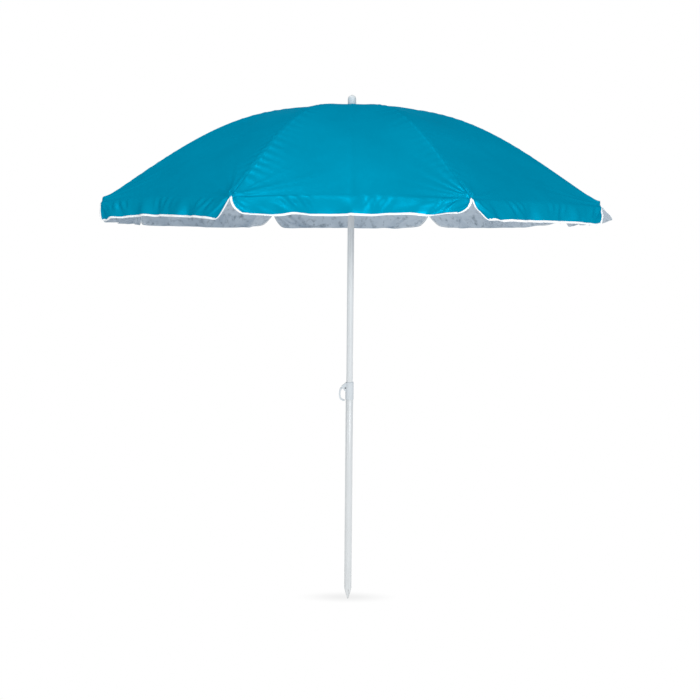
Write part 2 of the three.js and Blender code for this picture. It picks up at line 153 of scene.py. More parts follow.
def seam_dip(s):
    """How steeply the seam line falls at s, in radians."""
    s = np.asarray(s, float)[..., None]
    a, b, c, d = SEAM
    along = (1 - s) ** 2 * (b - a) + 2 * (1 - s) * s * (c - b) + s * s * (d - c)
    return np.arctan2(-along[..., 1], along[..., 0])


_fine = np.linspace(0, 1, 801)
_chords = np.hypot(*np.diff(np.array(seam(_fine)), axis=1))
_arc = np.concatenate([[0], np.cumsum(_chords)])


def seam_arc(s):
    """Length of the seam line from the crown to s."""
    return np.interp(s, _fine, _arc)


def azimuth_turn(azimuth):
    """Turns the XZ plane, +X outwards, to an azimuth: 0 is the front and it grows towards +X."""
    return Matrix.Rotation(azimuth - math.pi / 2, 3, "Z")


def rib_azimuth(k):
    return (k - 0.5) * STEP


def new_object(name, vertices, faces, materials=(), smooth_faces=True):
    mesh = bpy.data.meshes.new(name)
    mesh.from_pydata([tuple(v) for v in vertices], [], [tuple(f) for f in faces])
    mesh.update()
    obj = bpy.data.objects.new(name, mesh)
    bpy.context.scene.collection.objects.link(obj)
    for material in materials:
        mesh.materials.append(material)
    if smooth_faces:
        mesh.polygons.foreach_set("use_smooth", [True] * len(mesh.polygons))
    return obj


def apply_modifiers(obj):
    """Makes what the modifiers give into the object's own mesh."""
    graph = bpy.context.evaluated_depsgraph_get()
    graph.update()
    mesh = bpy.data.meshes.new_from_object(obj.evaluated_get(graph))
    old = obj.data
    obj.modifiers.clear()
    obj.data = mesh
    bpy.data.meshes.remove(old)
    return obj


def sharpen(obj, degrees=32):
    """Smooth faces with sharp edges where two faces meet at more than this."""
    form = bmesh.new()
    form.from_mesh(obj.data)
    for face in form.faces:
        face.smooth = True
    for edge in form.edges:
        edge.smooth = edge.calc_face_angle(0) < math.radians(degrees)
    form.to_mesh(obj.data)
    form.free()


def lathe(name, profile, material, turns=64, degrees=32):
    """A closed solid of revolution about Z, from (radius, height) pairs.

    The pairs start and end on the axis, or the last is the same as the first.
    """
    closed = tuple(profile[0]) == tuple(profile[-1])
    rows = profile[:-1] if closed else profile
    vertices, index = [], []
    for radius, height in rows:
        if radius < 1e-7:
            index.append([len(vertices)] * turns)
            vertices.append((0, 0, height))
            continue
        index.append(list(range(len(vertices), len(vertices) + turns)))
        for k in range(turns):
            a = 2 * math.pi * k / turns
            vertices.append((radius * math.cos(a), radius * math.sin(a), height))
    faces = []
    pairs = list(zip(index, index[1:])) + ([(index[-1], index[0])] if closed else [])
    for low, high in pairs:
        for k in range(turns):
            ring = [low[k], low[(k + 1) % turns], high[(k + 1) % turns], high[k]]
            face = list(dict.fromkeys(ring))
            if len(face) > 2:
                faces.append(face)
    obj = new_object(name, vertices, faces, [material])
    sharpen(obj, degrees)
    return obj


def sweep(name, points, section, inward, normal, material, closed=False):
    """A solid along points.

    section holds (inward, normal) pairs, and inward and normal hold a vector for each point.
    """
    count, sides = len(points), len(section)
    section = np.asarray(section, float)
    vertices = (
        np.asarray(points)[:, None, :]
        + section[None, :, :1] * np.asarray(inward)[:, None, :]
        + section[None, :, 1:] * np.asarray(normal)[:, None, :]
    ).reshape(-1, 3)
    faces = []
    for i in range(count if closed else count - 1):
        nxt = (i + 1) % count
        for j in range(sides):
            k = (j + 1) % sides
            faces.append((i * sides + j, nxt * sides + j, nxt * sides + k, i * sides + k))
    if not closed:
        faces.append(tuple(range(sides)))
        faces.append(tuple(reversed(range((count - 1) * sides, count * sides))))
    obj = new_object(name, vertices, faces, [material])
    form = bmesh.new()
    form.from_mesh(obj.data)
    bmesh.ops.recalc_face_normals(form, faces=form.faces)
    form.to_mesh(obj.data)
    form.free()
    return obj


def round_section(radius, sides=14):
    """A circle's points for sweep."""
    turn = np.linspace(0, 2 * math.pi, sides, endpoint=False)
    return np.stack([radius * np.cos(turn), radius * np.sin(turn)], axis=1)


def flat_wire(name, path, radius, material, sides=14):
    """A round wire along a path that lies in a plane through Z."""
    path = np.asarray(path, float)
    along = np.gradient(path, axis=0)
    along /= np.linalg.norm(along, axis=1, keepdims=True)
    across = np.cross(along, (0, 0, 1))
    across /= np.maximum(np.linalg.norm(across, axis=1, keepdims=True), 1e-9)
    up = np.cross(across, along)
    return sweep(name, path, round_section(radius, sides), across, up, material)


def join(name, objects):
    """One object from several, each of which keeps its materials."""
    form = bmesh.new()
    materials = []
    for obj in objects:
        start = len(form.faces)
        piece = obj.data.copy()
        piece.transform(obj.matrix_world)
        form.from_mesh(piece)
        form.faces.ensure_lookup_table()
        for face in form.faces[start:]:
            material = obj.data.materials[face.material_index]
            if material not in materials:
                materials.append(material)
            face.material_index = materials.index(material)
        bpy.data.meshes.remove(piece)
    mesh = bpy.data.meshes.new(name)
    form.to_mesh(mesh)
    form.free()
    for obj in objects:
        bpy.data.objects.remove(obj)
    joined = bpy.data.objects.new(name, mesh)
    bpy.context.scene.collection.objects.link(joined)
    for material in materials:
        mesh.materials.append(material)
    return joined


WELD = 2e-6  # points nearer than this are one
FLAT = math.radians(0.4)  # faces that meet at less than this are one


def refined(node, name, material, bevel, degrees=30, segments=2):
    """A finer piece in a CAD node's shape: its facets are joined and its hard edges rounded."""
    mesh = frame["nodes"][node].data.copy()
    mesh.materials.clear()
    mesh.materials.append(material)
    obj = bpy.data.objects.new(name, mesh)
    bpy.context.scene.collection.objects.link(obj)
    form = bmesh.new()
    form.from_mesh(mesh)
    bmesh.ops.remove_doubles(form, verts=form.verts, dist=WELD)
    bmesh.ops.dissolve_limit(form, angle_limit=FLAT, verts=form.verts, edges=form.edges)
    form.to_mesh(mesh)
    form.free()
    if bevel:
        rounding = obj.modifiers.new("round", "BEVEL")
        rounding.width, rounding.segments = bevel, segments
        rounding.limit_method, rounding.angle_limit = "ANGLE", math.radians(degrees)
        rounding.use_clamp_overlap = True
        apply_modifiers(obj)
    sharpen(obj, degrees + 8)
    weighted = obj.modifiers.new("normals", "WEIGHTED_NORMAL")
    weighted.keep_sharp = True
    apply_modifiers(obj)
    return obj


def stand_in(obj, body, slot, *nodes):
    """The piece rides on a body and stands for CAD nodes. The slot is not used."""
    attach(obj, body)
    if nodes:
        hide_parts(*nodes)
    return obj


# ---- camera, light and floor ----

CAMERA_PLACE = (0.0005, -3.476, 1.234)
CAMERA_DOWN = math.radians(6.02)
CAMERA_ROLL = math.radians(0.5)
CAMERA_LENS = 53.14
SENSOR = 36
WORLD_LOW, WORLD_HIGH = 0.36, 0.60  # light from the world's dimmest and brightest side
WORLD_BRIGHT = (0.2, -0.4, 0.9)  # the direction its brightest side lies in
FLOOR_LIGHT = 0.95
FLOOR_REACH = 12
FLOOR_DROP = 0.0005


def add_camera():
    data = bpy.data.cameras.new("camera")
    data.lens, data.sensor_width = CAMERA_LENS, SENSOR
    data.clip_start, data.clip_end = 0.05, 100
    camera = bpy.data.objects.new("camera", data)
    bpy.context.scene.collection.objects.link(camera)
    tilt = Matrix.Rotation(math.pi / 2 - CAMERA_DOWN, 4, "X") @ Matrix.Rotation(CAMERA_ROLL, 4, "Z")
    camera.matrix_world = Matrix.Translation(CAMERA_PLACE) @ tilt
    bpy.context.scene.camera = camera


def seen_and_lit(tree, seen, lit):
    """A strength that is one number for the camera and another, or a node's value, for light."""
    path = tree.nodes.new("ShaderNodeLightPath")
    mix = tree.nodes.new("ShaderNodeMix")
    mix.inputs["B"].default_value = seen
    if isinstance(lit, (int, float)):
        mix.inputs["A"].default_value = lit
    else:
        tree.links.new(lit, mix.inputs["A"])
    tree.links.new(path.outputs["Is Camera Ray"], mix.inputs["Factor"])
    return mix.outputs["Result"]


def add_world():
    """A white room for the camera. Its light is strongest from above and a little in front."""
    world = bpy.data.worlds.new("studio")
    bpy.context.scene.world = world
    world.use_nodes = True
    tree = world.node_tree
    back = tree.nodes["Background"]
    back.inputs["Color"].default_value = (1, 1, 1, 1)
    facing = tree.nodes.new("ShaderNodeVectorMath")
    facing.operation = "DOT_PRODUCT"
    facing.inputs[1].default_value = Vector(WORLD_BRIGHT).normalized()
    tree.links.new(tree.nodes.new("ShaderNodeTexCoord").outputs["Generated"], facing.inputs[0])
    lit = ranged(tree, facing.outputs["Value"], WORLD_LOW, WORLD_HIGH, -1, 1)
    tree.links.new(seen_and_lit(tree, 1.0, lit), back.inputs["Strength"])
    bpy.context.scene.view_settings.view_transform = "Standard"


def add_light(name, place, target, size, power):
    """A round area lamp, size metres across and power watts, that faces the target."""
    data = bpy.data.lights.new(name, "AREA")
    data.shape, data.size, data.energy = "DISK", size, power
    light = bpy.data.objects.new(name, data)
    bpy.context.scene.collection.objects.link(light)
    light.location = place
    light.rotation_euler = (Vector(target) - Vector(place)).to_track_quat("-Z", "Y").to_euler()


def add_floor():
    """A plain white floor with a faint soft shadow painted where the point meets it."""
    material = bpy.data.materials.new("floor")
    material.use_nodes = True
    tree = material.node_tree
    tree.nodes.clear()
    out = tree.nodes.new("ShaderNodeOutputMaterial")
    glow = tree.nodes.new("ShaderNodeEmission")
    place = tree.nodes.new("ShaderNodeTexCoord")
    stretch = tree.nodes.new("ShaderNodeMapping")
    stretch.inputs["Location"].default_value = (0.02, -0.25, 0)
    stretch.inputs["Scale"].default_value = (5.2, 15, 1)
    # Painted shadow: a soft ellipse about the point, white fading to light grey in the glow's
    # colour.
    painted_shadow = tree.nodes.new("ShaderNodeTexGradient")
    painted_shadow.gradient_type = "SPHERICAL"
    ramp = tree.nodes.new("ShaderNodeValToRGB")
    ramp.color_ramp.elements[0].color = (1, 1, 1, 1)
    ramp.color_ramp.elements[1].color = (0.87, 0.87, 0.87, 1)
    ramp.color_ramp.interpolation = "EASE"
    tree.links.new(place.outputs["Object"], stretch.inputs["Vector"])
    tree.links.new(stretch.outputs["Vector"], painted_shadow.inputs["Vector"])
    tree.links.new(painted_shadow.outputs["Fac"], ramp.inputs["Fac"])
    tree.links.new(ramp.outputs["Color"], glow.inputs["Color"])
    tree.links.new(seen_and_lit(tree, 1.0, FLOOR_LIGHT), glow.inputs["Strength"])
    tree.links.new(glow.outputs["Emission"], out.inputs["Surface"])
    far = FLOOR_REACH
    corners = [(-far, -far, 0), (far, -far, 0), (far, far, 0), (-far, far, 0)]
    floor = new_object("floor", corners, [(0, 1, 2, 3)], [material], smooth_faces=False)
    floor.location.z = -FLOOR_DROP


# ---- materials ----

THREADS = 1400  # to the metre
STITCH_ASIDE = 0.0035  # from the seam to each row of stitches
STITCH_WIDTH = 0.00035  # half the width of a row
STITCH_PITCH = 0.0042
STITCH_SHARE = 0.7  # how much of the pitch a stitch fills


def material(name, base, roughness, metallic=0.0, specular=0.5):
    made = bpy.data.materials.new(name)
    made.use_nodes = True
    shader = made.node_tree.nodes["Principled BSDF"]
    shader.inputs["Base Color"].default_value = base
    shader.inputs["Roughness"].default_value = roughness
    shader.inputs["Metallic"].default_value = metallic
    shader.inputs["Specular IOR Level"].default_value = specular
    return made, made.node_tree, shader


def coordinates(tree, kind="Object"):
    """The object's own coordinates, or the cloth's measure across and down for "UV"."""
    if kind == "UV":
        node = tree.nodes.new("ShaderNodeUVMap")
        node.uv_map = "cloth"
        return node.outputs["UV"]
    return tree.nodes.new("ShaderNodeTexCoord").outputs[kind]


def noise(tree, scale, detail=2.0, roughness=0.5, stretch=None):
    node = tree.nodes.new("ShaderNodeTexNoise")
    node.inputs["Scale"].default_value = scale
    node.inputs["Detail"].default_value = detail
    node.inputs["Roughness"].default_value = roughness
    source = coordinates(tree)
    if stretch:
        mapping = tree.nodes.new("ShaderNodeMapping")
        mapping.inputs["Scale"].default_value = stretch
        tree.links.new(source, mapping.inputs["Vector"])
        source = mapping.outputs["Vector"]
    tree.links.new(source, node.inputs["Vector"])
    return node.outputs["Fac"]


def math_node(tree, operation, a, b=None):
    node = tree.nodes.new("ShaderNodeMath")
    node.operation = operation
    for slot, value in enumerate([a, b]):
        if value is None:
            continue
        if isinstance(value, (int, float)):
            node.inputs[slot].default_value = value
        else:
            tree.links.new(value, node.inputs[slot])
    return node.outputs[0]


def ranged(tree, source, low, high, from_low=0.0, from_high=1.0):
    node = tree.nodes.new("ShaderNodeMapRange")
    limits = {"From Min": from_low, "From Max": from_high, "To Min": low, "To Max": high}
    for socket, value in limits.items():
        node.inputs[socket].default_value = value
    tree.links.new(source, node.inputs["Value"])
    return node.outputs["Result"]


def mixed(tree, factor, a, b):
    node = tree.nodes.new("ShaderNodeMix")
    node.data_type = "RGBA"
    tree.links.new(factor, node.inputs["Factor"])
    for socket, value in ((node.inputs[6], a), (node.inputs[7], b)):
        if isinstance(value, tuple):
            socket.default_value = value
        else:
            tree.links.new(value, socket)
    return node.outputs[2]


def bumped(tree, shader, height, strength, distance):
    node = tree.nodes.new("ShaderNodeBump")
    node.inputs["Strength"].default_value = strength
    node.inputs["Distance"].default_value = distance
    tree.links.new(height, node.inputs["Height"])
    tree.links.new(node.outputs["Normal"], shader.inputs["Normal"])


def darker(colour, share):
    return (*[c * share for c in colour[:3]], 1)


def coated(name, base, roughness, grain, wear=0.93):
    """Powder coat or moulded plastic: a fine grain, slight cloudiness and uneven gloss."""
    made, tree, shader = material(name, base, roughness)
    cloud = noise(tree, 14, 3)
    tone = mixed(tree, ranged(tree, cloud, 0, 1, 0.35, 0.75), base, darker(base, wear))
    tree.links.new(tone, shader.inputs["Base Color"])
    gloss = ranged(tree, noise(tree, 60, 4), roughness - 0.06, roughness + 0.08)
    tree.links.new(gloss, shader.inputs["Roughness"])
    bumped(tree, shader, noise(tree, grain, 2), 0.25, 0.0002)
    return made


def pole_paint():
    """Satin powder coat on the steel tube, scuffed and a little dirty towards the point."""
    base = linear(216, 220, 222)
    made, tree, shader = material("pole_paint", base, 0.38, metallic=0.06)
    split = tree.nodes.new("ShaderNodeSeparateXYZ")
    tree.links.new(coordinates(tree), split.inputs["Vector"])
    low = ranged(tree, split.outputs["Z"], 1, 0, 0.0, 0.12)
    streaks = ranged(tree, noise(tree, 1, 4, stretch=(260, 260, 26)), 0, 1, 0.5, 0.72)
    scuffed = math_node(tree, "MULTIPLY", low, streaks)
    cloud = ranged(tree, noise(tree, 9, 3), 0, 1, 0.4, 0.8)
    tone = mixed(tree, cloud, base, darker(base, 0.95))
    tree.links.new(mixed(tree, scuffed, tone, linear(168, 170, 170)), shader.inputs["Base Color"])
    tree.links.new(ranged(tree, noise(tree, 40, 4), 0.26, 0.42), shader.inputs["Roughness"])
    bumped(tree, shader, noise(tree, 1500, 2), 0.2, 0.0001)
    return made


def plated(name, base, roughness):
    """Plated steel, drawn along Z, with an uneven gloss."""
    made, tree, shader = material(name, base, roughness, metallic=0.9)
    gloss = ranged(tree, noise(tree, 300, 3), roughness - 0.1, roughness + 0.12)
    tree.links.new(gloss, shader.inputs["Roughness"])
    bumped(tree, shader, noise(tree, 1, 3, stretch=(900, 900, 120)), 0.15, 0.0001)
    return made


def weave(tree, threads):
    """A plain weave of so many threads to the metre, on the cloth's measure, and that measure."""
    split = tree.nodes.new("ShaderNodeSeparateXYZ")
    tree.links.new(coordinates(tree, "UV"), split.inputs["Vector"])
    waves = []
    for axis in ("X", "Y"):
        turned = math_node(tree, "MULTIPLY", split.outputs[axis], threads * 2 * math.pi)
        waves.append(math_node(tree, "SINE", turned))
    return math_node(tree, "MULTIPLY", waves[0], waves[1]), split


def stitches(tree, split):
    """1 on the dashes of a row of stitches on each side of a seam."""
    aside = math_node(tree, "ABSOLUTE", split.outputs["X"])
    off = math_node(tree, "ABSOLUTE", math_node(tree, "SUBTRACT", aside, STITCH_ASIDE))
    near = math_node(tree, "LESS_THAN", off, STITCH_WIDTH)
    count = math_node(tree, "MULTIPLY", split.outputs["Y"], 1 / STITCH_PITCH)
    phase = math_node(tree, "FRACT", count)
    return math_node(tree, "MULTIPLY", near, math_node(tree, "LESS_THAN", phase, STITCH_SHARE))


def canopy_cloth():
    """Coated plain-weave polyester, turquoise, with a soft lustre and stitched seams."""
    base = linear(0, 147, 182)
    made, tree, shader = material("canopy_fabric", base, 0.42, metallic=0.38, specular=0.0)
    shader.inputs["Specular Tint"].default_value = linear(0, 178, 214)
    threads, split = weave(tree, THREADS)
    cloud = ranged(tree, noise(tree, 5, 4), 0, 1, 0.3, 0.75)
    tone = mixed(tree, cloud, linear(0, 150, 186), linear(0, 142, 177))
    sewn = stitches(tree, split)
    tree.links.new(mixed(tree, sewn, tone, linear(0, 122, 156)), shader.inputs["Base Color"])
    tree.links.new(ranged(tree, noise(tree, 30, 3), 0.38, 0.48), shader.inputs["Roughness"])
    crinkle = noise(tree, 75, 5, roughness=0.62)
    height = math_node(tree, "ADD", math_node(tree, "MULTIPLY", threads, 0.06), crinkle)
    height = math_node(tree, "SUBTRACT", height, math_node(tree, "MULTIPLY", sewn, 0.5))
    bumped(tree, shader, height, 0.35, 0.0012)
    return made


def silver_lining():
    """The inside's silver coating: dull, slightly blue and finely crinkled."""
    base = linear(184, 198, 211)
    made, tree, shader = material("canopy_lining", base, 0.5, metallic=0.25)
    threads, split = weave(tree, THREADS)
    spots = ranged(tree, noise(tree, 42, 6, roughness=0.65), 0, 1, 0.52, 0.7)
    tone = mixed(tree, spots, base, linear(122, 138, 152))
    sewn = stitches(tree, split)
    tree.links.new(mixed(tree, sewn, tone, linear(40, 120, 145)), shader.inputs["Base Color"])
    tree.links.new(ranged(tree, noise(tree, 90, 3), 0.4, 0.58), shader.inputs["Roughness"])
    crinkle = noise(tree, 60, 6, roughness=0.66)
    height = math_node(tree, "ADD", math_node(tree, "MULTIPLY", threads, 0.05), crinkle)
    bumped(tree, shader, height, 0.7, 0.0026)
    return made


def binding_tape(name, base):
    """Woven bias tape."""
    made, tree, shader = material(name, base, 0.8, specular=0.3)
    rough = noise(tree, 1500, 2)
    cloud = ranged(tree, noise(tree, 60, 3), 0, 1, 0.4, 0.8)
    tree.links.new(mixed(tree, cloud, base, darker(base, 0.93)), shader.inputs["Base Color"])
    twill = noise(tree, 1, 2, stretch=(1100, 1100, 2400))
    bumped(tree, shader, math_node(tree, "ADD", rough, twill), 0.35, 0.0003)
    return made


def make_materials():
    return {
        "pole_paint": pole_paint(),
        "collar_plastic": coated("collar_plastic", linear(206, 213, 218), 0.42, 900),
        "finial_plastic": coated("finial_plastic", linear(216, 223, 227), 0.38, 700),
        "hub_plastic": coated("hub_plastic", linear(236, 238, 239), 0.45, 900),
        "steel_wire": coated("steel_wire", linear(214, 218, 220), 0.36, 1200, wear=0.85),
        "plated_steel": plated("plated_steel", linear(92, 92, 97), 0.36),
        "canopy_fabric": canopy_cloth(),
        "canopy_lining": silver_lining(),
        "binding": binding_tape("binding", linear(243, 246, 248)),
        # A darker grey-blue copy of the white tape for its faces on the inside: painted shade.
        "binding_inside_painted_shade": binding_tape("binding_inside_painted_shade", linear(176, 192, 204)),
    }


# ---- canopy ----


class Panel:
    """One canopy panel between two ribs.

    In its own frame +X runs outwards along its middle, and t goes from -1 to 1 across it.
    """

    def __init__(self, number):
        self.azimuth = number * STEP
        self.rise, self.lean, self.notches, self.powers = FLAPS[number]
        self.turn = np.array(azimuth_turn(self.azimuth))
        draw = np.random.default_rng(700 + number)
        self.waves = draw.uniform(0, 2 * math.pi, 12)  # phases
        self.swing = draw.uniform(0.7, 1.3, 6)  # shares of a wave's height
        self.fans = {side: self.fan(draw) for side in (-1, 1)}
        self.hanging = {side: self.folds(draw) for side in (-1, 1)}
        self.crease = FRONT_CREASE if number == 0 else OTHER_CREASE
        self.ruffle = 1.0 if number in (0, 1, RIBS - 1) else 0.5

    def fan(self, draw):
        """Pull lines from the notch's top, each its angle from the seam, length, height, width."""
        angles = np.radians([7, 15, 25, 35, 46, 58, 70]) + draw.uniform(-0.05, 0.05, 7)
        lengths = draw.uniform(0.05, 0.12, 7)
        heights = draw.uniform(0.0030, 0.0065, 7)
        widths = draw.uniform(0.0045, 0.0070, 7)
        return list(zip(angles, lengths, heights, widths))

    def folds(self, draw):
        """Folds that run into the flap from the notch's top.

        Each is its angle below the fold line, length, height and width.
        """
        angles = np.radians([4, 16, 30, 48]) + draw.uniform(-0.06, 0.06, 4)
        lengths = draw.uniform(0.06, 0.16, 4)
        heights = draw.uniform(0.003, 0.006, 4)
        widths = draw.uniform(0.006, 0.009, 4)
        return list(zip(angles, lengths, heights, widths))

    def fold(self, t):
        """Where along the seam the fabric turns down, for each t."""
        return 1 - self.rise * (1 - t * t)

    def relief(self, s, t):
        """How far the fabric stands out of the straight span between its ribs."""
        radius, _ = seam(s)
        half = radius * math.sin(HALF)
        aside = (1 - np.abs(t)) * half
        middle = np.abs(t) * half
        up = SEAM_LENGTH - seam_arc(s)
        w = self.waves
        open_span = 1 - t * t
        out = -SAG * smooth((s - 0.15) / 0.5) * (1 - 0.6 * s) * open_span
        out += self.crease * np.exp(-middle / 0.0045) * smooth((s - 0.08) / 0.1)
        swell = np.sin(5.1 * s + 2.3 * t + w[0]) + 0.7 * np.sin(9.3 * s - 3.7 * t + w[1])
        out += SWELL * swell * open_span * smooth(s / 0.3)

        # Pull lines and the pucker along the seams.
        drift = 1.6 * np.sin(up * 13 + w[3]) + 0.9 * np.sin(up * 31 + w[6])
        pull = np.sin((up * 0.75 + aside * 0.45) / 0.027 * 2 * np.pi + drift + w[2])
        patch = smooth(0.5 + 0.8 * np.sin(up * 11 + w[4]) * np.sin(up * 7.3 + w[5]))
        near_seam = np.exp(-aside / 0.030) * (1 - np.exp(-aside / 0.006))
        out += PULL * pull * patch * near_seam * smooth((up - 0.02) / 0.06) * smooth(s / 0.25)
        ridge = np.exp(-((aside - 0.007) ** 2) / 0.004**2)
        out += PUCKER * ridge * (1 - np.exp(-aside / 0.002))

        # The fan of pull lines above each notch.
        side = np.where(np.asarray(t) < 0, -1, 1)
        reach = np.hypot(up, aside)
        angle = np.arctan2(aside, np.maximum(up, 1e-6))
        for which, lines in self.fans.items():
            for direction, length, height, width in lines:
                off = (angle - direction) * reach
                spread = width * (0.5 + reach / 0.07)
                line = np.exp(-((off / spread) ** 2)) * np.exp(-reach / length)
                line *= smooth(reach / 0.018) * smooth(up / 0.012)
                out += np.where(side == which, height * line, 0) * (1 - np.exp(-aside / 0.003))
        return out

    def span(self, s, t):
        """Points of the stretched part, in the panel's frame."""
        radius, height = seam(s)
        dip = seam_dip(s)
        out = self.relief(s, t)
        x = radius * math.cos(HALF) + out * np.sin(dip)
        y = t * radius * math.sin(HALF)
        z = height + out * np.cos(dip)
        return np.stack([x, y, z], axis=-1)

    def notch(self, v, t):
        """Half-width of the notch at v down the flap, on the side of t."""
        corner = np.clip((v - NOTCH_END) / (1 - NOTCH_END), 0, 1)
        rounding = CORNER * (1 - np.sqrt(np.maximum(1 - corner**2, 0)))
        first, last = (wide * v**power for wide, power in zip(self.notches, self.powers))
        return np.where(t < 0, first, last) + rounding

    def flap(self, t, steps):
        """Rows of the hanging flap below the fold, each a list of points for t."""
        s = self.fold(t)
        point = self.span(s, t)
        dip = seam_dip(s)
        depth = FLAP_DEPTH + FLAP_EXTRA * (1 - t * t)
        radius, _ = seam(s)
        width = radius * math.sin(HALF)
        aside = (1 - np.abs(t)) * width
        along = t * width * 2 * math.pi
        w, g = self.waves, self.swing
        first, middle, last = np.radians(self.lean)
        lean = middle + (np.where(t < 0, first, last) - middle) * t * t
        roll = SHARP_ROLL + (SOFT_ROLL - SHARP_ROLL) * smooth(aside / 0.15)
        ripple = g[1] * np.sin(along / 0.155 + w[6]) + 0.6 * g[2] * np.sin(along / 0.088 + w[7])
        steady = 1 - 0.7 * np.exp(-aside / 0.03)
        curl = np.radians(24 + 16 * np.sin(along / 0.25 + w[11]))
        curl = self.ruffle * curl * smooth(aside / 0.07)
        rows = []
        centre = point[:, [0, 2]].copy()
        previous = 0.0
        for v in steps:
            step = (v - previous) * depth
            drape = curl * (v - 0.45) * smooth(v * depth / roll)
            angle = dip + (math.pi / 2 - lean - dip) * smooth(v * depth / roll) + drape
            centre = centre + np.stack([np.cos(angle) * step, -np.sin(angle) * step], axis=1)
            previous = v
            out = RIPPLE * ripple * smooth(v) * steady
            free = self.ruffle * (1 - 0.85 * smooth((v - 0.55) / 0.45))
            flutter = FLUTTER * g[3] * np.sin(along / 0.047 + w[8] - 3 * v)
            out += flutter * smooth(v) * steady * free
            slant = along / (2 * math.pi) + np.tanh(4 * t) * v * 0.035
            tuck = np.sin(slant / 0.034 * 2 * math.pi + w[9])
            patch = smooth(0.3 + 0.9 * np.sin(along / 0.21 + w[10]))
            depthwise = np.exp(-(((v - 0.4) / 0.26) ** 2))
            out += TUCK * tuck * patch * depthwise * smooth(v / 0.2) * free
            inside = smooth((aside - self.notch(v, t)) / 0.014) * free
            reach = np.hypot(v * depth, aside)
            angle_below = np.arctan2(v * depth, np.maximum(aside, 1e-6))
            for side, lines in self.hanging.items():
                for direction, length, height, spread in lines:
                    off = (angle_below - direction) * reach / (spread * (0.6 + reach / 0.12))
                    line = height * np.exp(-(off**2) - reach / length)
                    line = line * smooth(reach / 0.02) * smooth(v / 0.15)
                    out += np.where(np.sign(t) == side, line, 0) * inside
            across = t * (width - self.notch(v, t))
            outwards = centre[:, 0] + out * np.sin(angle)
            upwards = centre[:, 1] + out * np.cos(angle)
            rows.append(np.stack([outwards, across, upwards], axis=1))
        return rows

    def half(self, side):
        """Half a panel from the rib at t = side to the middle, from the crown to the hem.

        Returns its points, normals, and the measures across and down the cloth.
        """
        q = np.linspace(0, 1, COLUMNS + 1) ** 1.5  # closer together by the seam
        beyond = 2 - q[-2]  # one more column, so that the normals agree at the middle
        t = side * (1 - np.append(q, beyond))
        start = HOLE / (3 * SEAM[1][0])
        rows = []
        for x in np.linspace(0, 1, ROWS + 1):
            share = 1 - (1 - x) ** 1.7
            rows.append(self.span(start + (self.fold(t) - start) * share, t))
        rows += self.flap(t, np.linspace(0, 1, FLAP_ROWS + 1)[1:])
        grid = np.array(rows)
        down = np.linalg.norm(np.diff(grid, axis=0), axis=2)
        measure = np.concatenate([np.zeros((1, len(t))), np.cumsum(down, axis=0)])
        aside = np.abs(grid[:, :1, 1]) - np.abs(grid[:, :, 1])
        normal = unit(np.cross(np.gradient(grid, axis=1) * side, np.gradient(grid, axis=0)))
        keep = slice(0, COLUMNS + 1)
        grid, normal = grid[:, keep] @ self.turn.T, normal[:, keep] @ self.turn.T
        return grid, normal, aside[:, keep], measure[:, keep]


PANELS = [Panel(number) for number in range(RIBS)]


def sector_mesh(k, looks):
    """The fabric that goes with rib k: half a panel on each side of it, as one closed sheet."""
    halves = [(PANELS[(k - 1) % RIBS], 1), (PANELS[k % RIBS], -1)]
    points, normals, measures, quads, edges = [], [], [], [], []
    for panel, side in halves:
        grid, normal, aside, measure = panel.half(side)
        rows, columns, _ = grid.shape
        index = len(points) * rows * columns + np.arange(rows * columns).reshape(rows, columns)
        if points:  # the seam above the notch is shared with the first half
            seam_rows = slice(0, ROWS + 1)
            index[seam_rows, 0] = np.arange(rows * columns).reshape(rows, columns)[seam_rows, 0]
            normals[0][seam_rows, 0] = unit(normals[0][seam_rows, 0] + normal[seam_rows, 0])
        corners = [index[:-1, :-1], index[1:, :-1], index[1:, 1:], index[:-1, 1:]]
        quads.append(np.stack(corners if side < 0 else corners[::-1], axis=-1).reshape(-1, 4))
        points.append(grid)
        normals.append(normal)
        measures.append(np.stack([-side * aside, measure], axis=-1))
        edges.append((grid, normal))
    quads = np.concatenate(quads)
    triangles = np.concatenate([quads[:, [0, 1, 2]], quads[:, [0, 2, 3]]])
    used, faces = np.unique(triangles, return_inverse=True)
    faces = faces.reshape(-1, 3)
    outer = np.concatenate([part.reshape(-1, 3) for part in points])[used]
    normal = np.concatenate([part.reshape(-1, 3) for part in normals])[used]
    measure = np.concatenate([part.reshape(-1, 2) for part in measures])[used]

    count = len(outer)
    sides = np.stack([faces, np.roll(faces, -1, axis=1)], axis=-1).reshape(-1, 2)
    both = {tuple(side) for side in sides.tolist()}
    rim = [(b, a, a + count, b + count) for a, b in both if (b, a) not in both]
    rim.sort()
    everything = [*faces.tolist(), *(faces[:, ::-1] + count).tolist(), *rim]
    obj = new_object(
        f"canopy_{k}",
        [*outer, *(outer - normal * CLOTH)],
        everything,
        [looks["canopy_fabric"], looks["canopy_lining"]],
    )
    mesh = obj.data
    slots = [0] * len(faces) + [1] * len(faces) + [0] * len(rim)
    mesh.polygons.foreach_set("material_index", slots)
    loops = np.empty(len(mesh.loops), int)
    mesh.loops.foreach_get("vertex_index", loops)
    mesh.uv_layers.new(name="cloth").data.foreach_set("uv", measure[loops % count].ravel())
    shading = np.where((loops < count)[:, None], normal[loops % count], -normal[loops % count])
    rims = [mesh.polygons[i].normal for i in range(2 * len(faces), len(everything))]
    shading[6 * len(faces) :] = np.repeat(rims, 4, axis=0)
    mesh.normals_split_custom_set(shading.tolist())
    return obj, edges


def eased(values, times):
    """Values averaged with their neighbours, with both ends kept."""
    for _ in range(times):
        values[1:-1] = (values[:-2] + 2 * values[1:-1] + values[2:]) / 4
    return values


